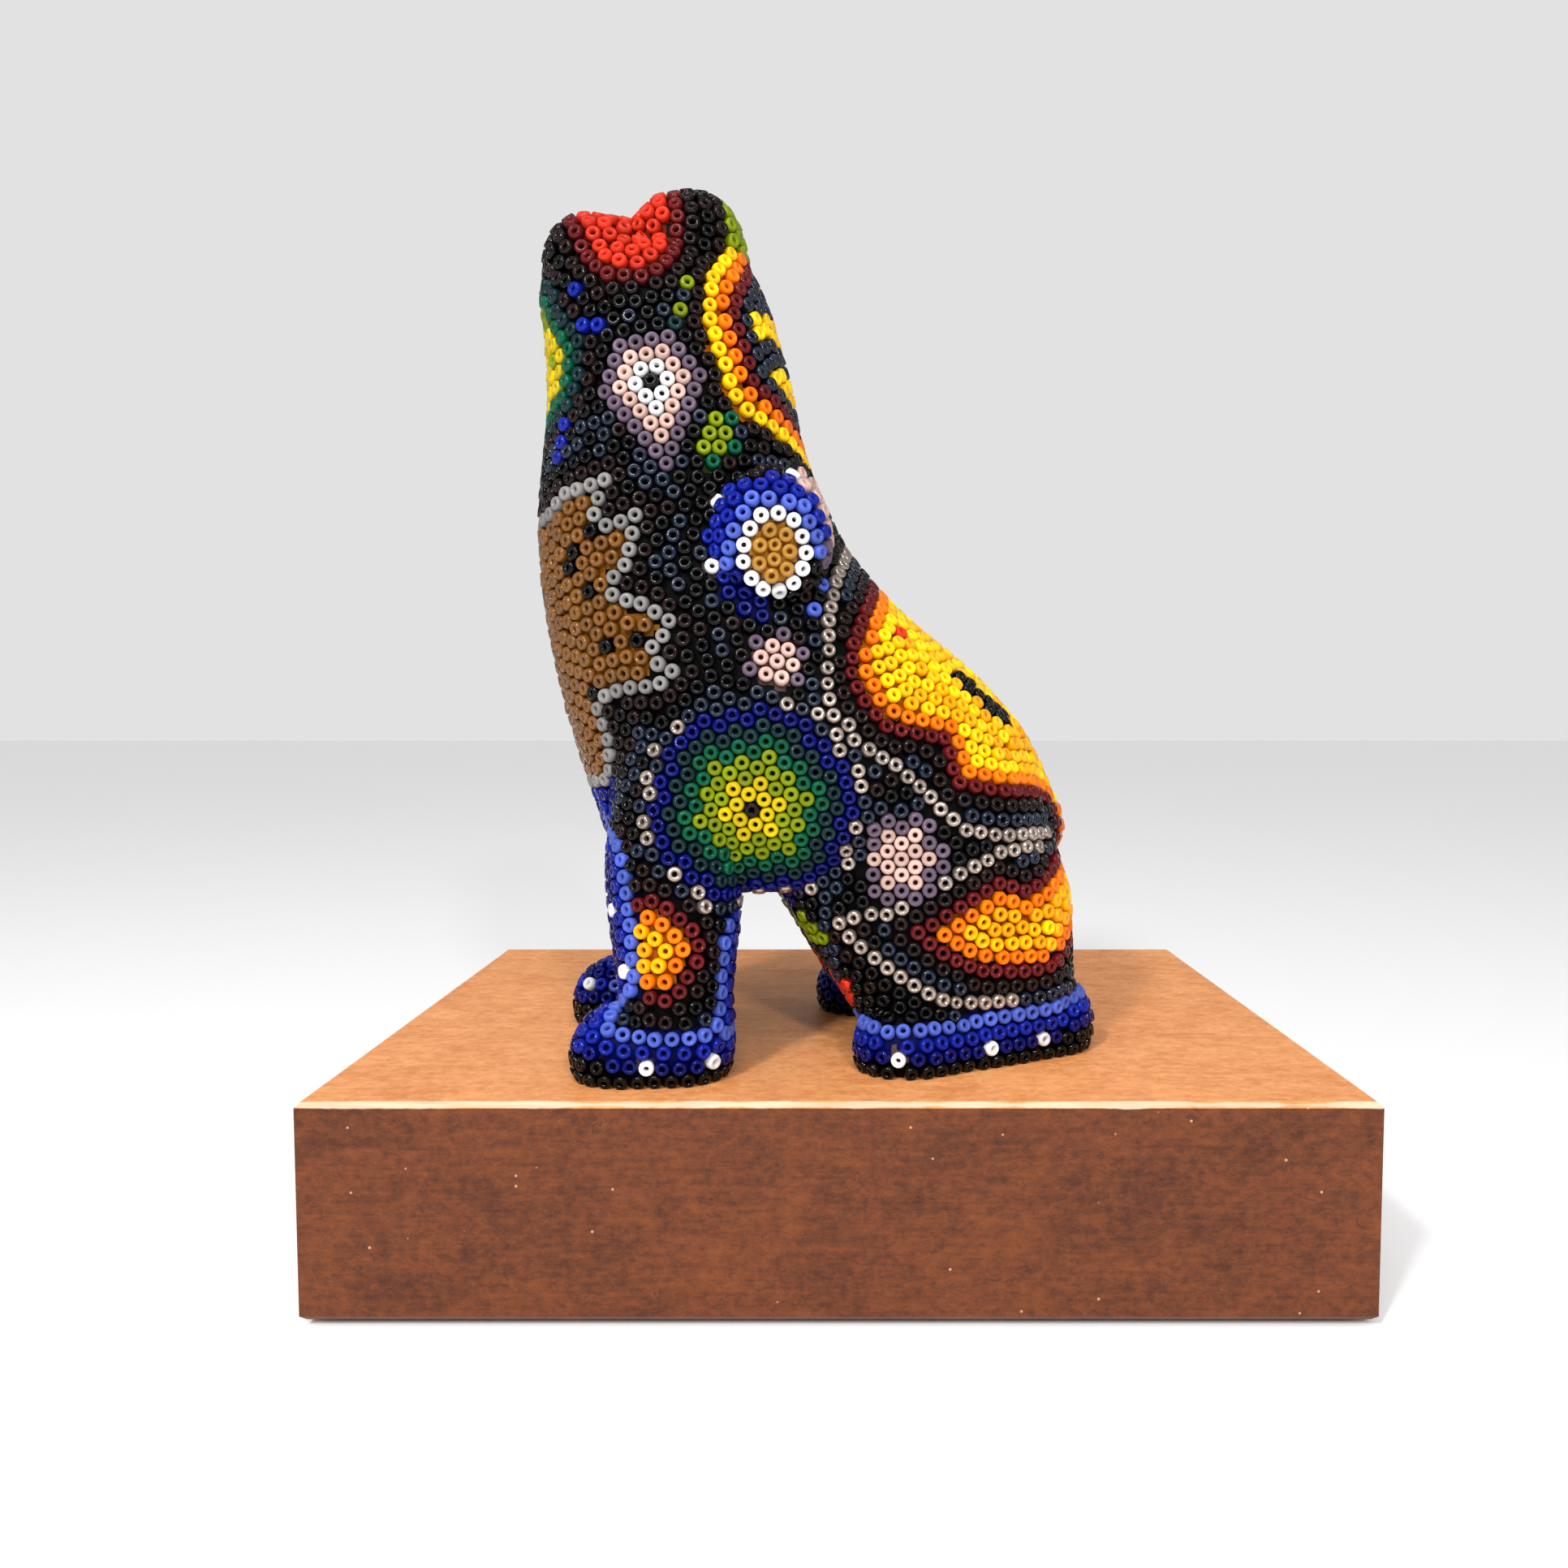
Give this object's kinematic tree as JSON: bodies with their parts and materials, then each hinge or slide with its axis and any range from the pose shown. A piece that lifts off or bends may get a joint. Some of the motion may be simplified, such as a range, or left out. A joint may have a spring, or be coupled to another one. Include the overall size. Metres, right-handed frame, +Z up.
{
  "type": "beaded animal figure",
  "caption": "Seated howling animal, carved in wood and covered in wax-set glass seed beads in colour motifs, standing on a stained wooden display block.",
  "frame": {"origin": "middle of the underside of the felt under the display block", "axes": "+X from the animal's front to its back, +Y from its left side to its right, +Z up"},
  "size_m": [0.138, 0.1, 0.1524],
  "materials": {
    "plinth_wood": "stained hardwood, satin lacquer",
    "felt": "black felt",
    "carved_wood": "bare carved softwood",
    "wax": "dark beeswax and resin",
    "beads_red": "glossy opaque glass seed beads",
    "beads_green": "glossy opaque glass seed beads",
    "beads_orange": "glossy opaque glass seed beads",
    "beads_amber": "glossy translucent glass seed beads",
    "beads_white": "glossy opaque glass seed beads",
    "beads_yellow": "glossy opaque glass seed beads",
    "beads_pink": "glossy opaque glass seed beads",
    "beads_blue": "glossy opaque glass seed beads",
    "beads_black": "glossy opaque and lustred glass seed beads"
  },
  "bodies": {
    "block": {"plinth": "plinth_wood", "plinth_felt": "felt"},
    "figure": {"body_core": "carved_wood", "wax_coat": "wax", "mouth_beads": "beads_red", "throat_beads": "beads_green", "crest_beads": "beads_orange", "chest_beads": "beads_amber", "chest_zigzag_beads": "beads_white", "back_beads": "beads_yellow", "rump_beads": "beads_yellow", "eye_beads_left": "beads_pink", "eye_beads_right": "beads_pink", "cheek_beads_left": "beads_green", "cheek_beads_right": "beads_green", "ear_cup_beads_left": "beads_amber", "ear_cup_beads_right": "beads_amber", "ear_beads_left": "beads_blue", "ear_beads_right": "beads_blue", "shoulder_flower_beads_left": "beads_pink", "shoulder_flower_beads_right": "beads_pink", "star_beads_left": "beads_green", "star_beads_right": "beads_green", "hip_flower_beads_left": "beads_pink", "hip_flower_beads_right": "beads_pink", "leg_flame_beads_left": "beads_orange", "leg_flame_beads_right": "beads_orange", "front_foot_beads_left": "beads_blue", "front_foot_beads_right": "beads_blue", "hind_foot_beads_left": "beads_blue", "hind_foot_beads_right": "beads_blue", "head_ground_beads": "beads_black", "neck_ground_beads": "beads_black", "trunk_ground_beads": "beads_black", "front_leg_ground_beads_left": "beads_black", "front_leg_ground_beads_right": "beads_black", "hind_leg_ground_beads_left": "beads_black", "hind_leg_ground_beads_right": "beads_black"}
  },
  "joints": [
    {"name": "figure_lift", "type": "slide", "parent": "block", "child": "figure", "axis": [0, 0, 1], "range_m": [0, 0.03]}
  ]
}
